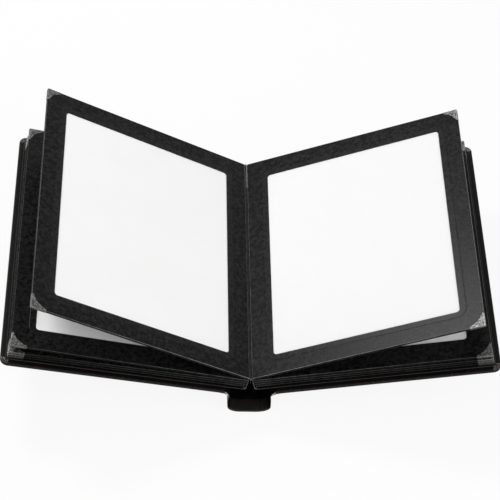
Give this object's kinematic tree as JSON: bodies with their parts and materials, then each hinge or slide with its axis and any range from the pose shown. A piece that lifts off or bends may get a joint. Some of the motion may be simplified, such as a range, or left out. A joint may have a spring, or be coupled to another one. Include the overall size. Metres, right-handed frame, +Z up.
{
  "type": "photo album",
  "caption": "Hardback slip-in mat album standing open on its hollow spine, with thick black window-mat leaves, blank white cards and metal leaf corners.",
  "frame": {"origin": "middle of the flat underside of the spine", "axes": "+X across the open album to the right, +Y along the spine towards the top of the pages, +Z up out of the open album"},
  "size_m": [0.49, 0.3012, 0.1578],
  "materials": {
    "leatherette": "fine-grained black leatherette, satin",
    "greyboard": "dense grey bookbinding board, matt",
    "endpaper": "black lining paper, matt",
    "black_card": "black fine-textured mat card, low sheen",
    "white_card": "blank white card, smooth matt",
    "cloth_tape": "dark grey woven binding tape, pale at its cut ends",
    "corner_steel": "embossed sheet metal, bright on the ridges and blackened in the hollows"
  },
  "bodies": {
    "spine": {"spine_cover": "leatherette", "spine_board": "greyboard", "spine_lining": "leatherette"},
    "fold": {"fold_tape": "cloth_tape"},
    "left_half": {"left_cover_board": "greyboard", "left_cover_wrap": "leatherette", "left_endpaper": "endpaper", "left_block_tape": "cloth_tape"},
    "left_strip": {"left_joint_strip": "leatherette"},
    "left_leaf_1": {"left_front_mat_1": "black_card", "left_back_mat_1": "black_card", "left_corners_1": "corner_steel", "left_guard_1": "cloth_tape"},
    "left_slip_card_1": {"left_card_1": "white_card"},
    "left_leaf_2": {"left_front_mat_2": "black_card", "left_back_mat_2": "black_card", "left_corners_2": "corner_steel", "left_guard_2": "cloth_tape"},
    "left_slip_card_2": {"left_card_2": "white_card"},
    "left_leaf_3": {"left_front_mat_3": "black_card", "left_back_mat_3": "black_card", "left_corners_3": "corner_steel"},
    "left_slip_card_3": {"left_card_3": "white_card"},
    "left_leaf_4": {"left_front_mat_4": "black_card", "left_back_mat_4": "black_card", "left_corners_4": "corner_steel"},
    "left_slip_card_4": {"left_card_4": "white_card"},
    "left_leaf_5": {"left_front_mat_5": "black_card", "left_back_mat_5": "black_card", "left_corners_5": "corner_steel"},
    "left_slip_card_5": {"left_card_5": "white_card"},
    "right_half": {"right_cover_board": "greyboard", "right_cover_wrap": "leatherette", "right_endpaper": "endpaper", "right_block_tape": "cloth_tape"},
    "right_strip": {"right_joint_strip": "leatherette"},
    "right_leaf_1": {"right_front_mat_1": "black_card", "right_back_mat_1": "black_card", "right_corners_1": "corner_steel", "right_guard_1": "cloth_tape"},
    "right_slip_card_1": {"right_card_1": "white_card"},
    "right_leaf_2": {"right_front_mat_2": "black_card", "right_back_mat_2": "black_card", "right_corners_2": "corner_steel", "right_guard_2": "cloth_tape"},
    "right_slip_card_2": {"right_card_2": "white_card"},
    "right_leaf_3": {"right_front_mat_3": "black_card", "right_back_mat_3": "black_card", "right_corners_3": "corner_steel"},
    "right_slip_card_3": {"right_card_3": "white_card"},
    "right_leaf_4": {"right_front_mat_4": "black_card", "right_back_mat_4": "black_card", "right_corners_4": "corner_steel"},
    "right_slip_card_4": {"right_card_4": "white_card"},
    "right_leaf_5": {"right_front_mat_5": "black_card", "right_back_mat_5": "black_card", "right_corners_5": "corner_steel"},
    "right_slip_card_5": {"right_card_5": "white_card"}
  },
  "joints": [
    {"name": "fold_drop", "type": "slide", "parent": "spine", "child": "fold", "axis": [0, 0, 1], "range_m": [-0.03531, 0.00535]},
    {"name": "left_cover_hinge", "type": "hinge", "parent": "fold", "child": "left_half", "pos_m": [0, 0, 0.0475], "axis": [0, -1, 0], "range_deg": [-77.6, 11]},
    {"name": "left_crease_fold", "type": "hinge", "parent": "left_half", "child": "left_strip", "pos_m": [-0.02062, 0, 0.02737], "axis": [0, -1, 0], "range_deg": [-11.5, 78.1]},
    {"name": "left_leaf_5_turn", "type": "hinge", "parent": "left_half", "child": "left_leaf_5", "pos_m": [0, 0, 0.0475], "axis": [0, 1, 0], "range_deg": [0, 5]},
    {"name": "left_card_5_slide", "type": "slide", "parent": "left_leaf_5", "child": "left_slip_card_5", "axis": [0, 1, 0], "range_m": [0, 0.25]},
    {"name": "left_leaf_4_turn", "type": "hinge", "parent": "left_leaf_5", "child": "left_leaf_4", "pos_m": [0, 0, 0.0475], "axis": [0, 1, 0], "range_deg": [0, 5]},
    {"name": "left_card_4_slide", "type": "slide", "parent": "left_leaf_4", "child": "left_slip_card_4", "axis": [0, 1, 0], "range_m": [0, 0.25]},
    {"name": "left_leaf_3_turn", "type": "hinge", "parent": "left_leaf_4", "child": "left_leaf_3", "pos_m": [0, 0, 0.0475], "axis": [0, 1, 0], "range_deg": [0, 5]},
    {"name": "left_card_3_slide", "type": "slide", "parent": "left_leaf_3", "child": "left_slip_card_3", "axis": [0, 1, 0], "range_m": [0, 0.25]},
    {"name": "left_leaf_2_turn", "type": "hinge", "parent": "left_leaf_3", "child": "left_leaf_2", "pos_m": [0, 0, 0.0475], "axis": [0, 1, 0], "range_deg": [-1.9, 52]},
    {"name": "left_card_2_slide", "type": "slide", "parent": "left_leaf_2", "child": "left_slip_card_2", "axis": [0, 1, 0], "range_m": [0, 0.25]},
    {"name": "left_leaf_1_turn", "type": "hinge", "parent": "left_leaf_2", "child": "left_leaf_1", "pos_m": [0, 0, 0.0475], "axis": [0, 1, 0], "range_deg": [-14.85, 2.15]},
    {"name": "left_card_1_slide", "type": "slide", "parent": "left_leaf_1", "child": "left_slip_card_1", "axis": [0, 1, 0], "range_m": [0, 0.25]},
    {"name": "right_cover_hinge", "type": "hinge", "parent": "fold", "child": "right_half", "pos_m": [0, 0, 0.0475], "axis": [0, 1, 0], "range_deg": [-78.1, 11.5]},
    {"name": "right_crease_fold", "type": "hinge", "parent": "right_half", "child": "right_strip", "pos_m": [0.02062, 0, 0.02737], "axis": [0, 1, 0], "range_deg": [-11.5, 78.1]},
    {"name": "right_leaf_5_turn", "type": "hinge", "parent": "right_half", "child": "right_leaf_5", "pos_m": [0, 0, 0.0475], "axis": [0, -1, 0], "range_deg": [0, 5]},
    {"name": "right_card_5_slide", "type": "slide", "parent": "right_leaf_5", "child": "right_slip_card_5", "axis": [0, 1, 0], "range_m": [0, 0.25]},
    {"name": "right_leaf_4_turn", "type": "hinge", "parent": "right_leaf_5", "child": "right_leaf_4", "pos_m": [0, 0, 0.0475], "axis": [0, -1, 0], "range_deg": [0, 5]},
    {"name": "right_card_4_slide", "type": "slide", "parent": "right_leaf_4", "child": "right_slip_card_4", "axis": [0, 1, 0], "range_m": [0, 0.25]},
    {"name": "right_leaf_3_turn", "type": "hinge", "parent": "right_leaf_4", "child": "right_leaf_3", "pos_m": [0, 0, 0.0475], "axis": [0, -1, 0], "range_deg": [0, 5]},
    {"name": "right_card_3_slide", "type": "slide", "parent": "right_leaf_3", "child": "right_slip_card_3", "axis": [0, 1, 0], "range_m": [0, 0.25]},
    {"name": "right_leaf_2_turn", "type": "hinge", "parent": "right_leaf_3", "child": "right_leaf_2", "pos_m": [0, 0, 0.0475], "axis": [0, -1, 0], "range_deg": [-0.6, 58]},
    {"name": "right_card_2_slide", "type": "slide", "parent": "right_leaf_2", "child": "right_slip_card_2", "axis": [0, 1, 0], "range_m": [0, 0.25]},
    {"name": "right_leaf_1_turn", "type": "hinge", "parent": "right_leaf_2", "child": "right_leaf_1", "pos_m": [0, 0, 0.0475], "axis": [0, -1, 0], "range_deg": [-11.35, 1.65]},
    {"name": "right_card_1_slide", "type": "slide", "parent": "right_leaf_1", "child": "right_slip_card_1", "axis": [0, 1, 0], "range_m": [0, 0.25]}
  ],
  "couplings": [
    {"joint": "left_crease_fold", "follows": "left_cover_hinge", "ratio": -1},
    {"joint": "left_leaf_1_turn", "follows": "left_cover_hinge", "ratio": 0.19072},
    {"joint": "right_crease_fold", "follows": "left_cover_hinge", "ratio": -1},
    {"joint": "right_leaf_1_turn", "follows": "left_cover_hinge", "ratio": 0.14562},
    {"joint": "right_cover_hinge", "follows": "left_cover_hinge", "ratio": 1},
    {"joint": "fold_drop", "follows": "left_cover_hinge", "m_per_rad": 0.025772}
  ]
}
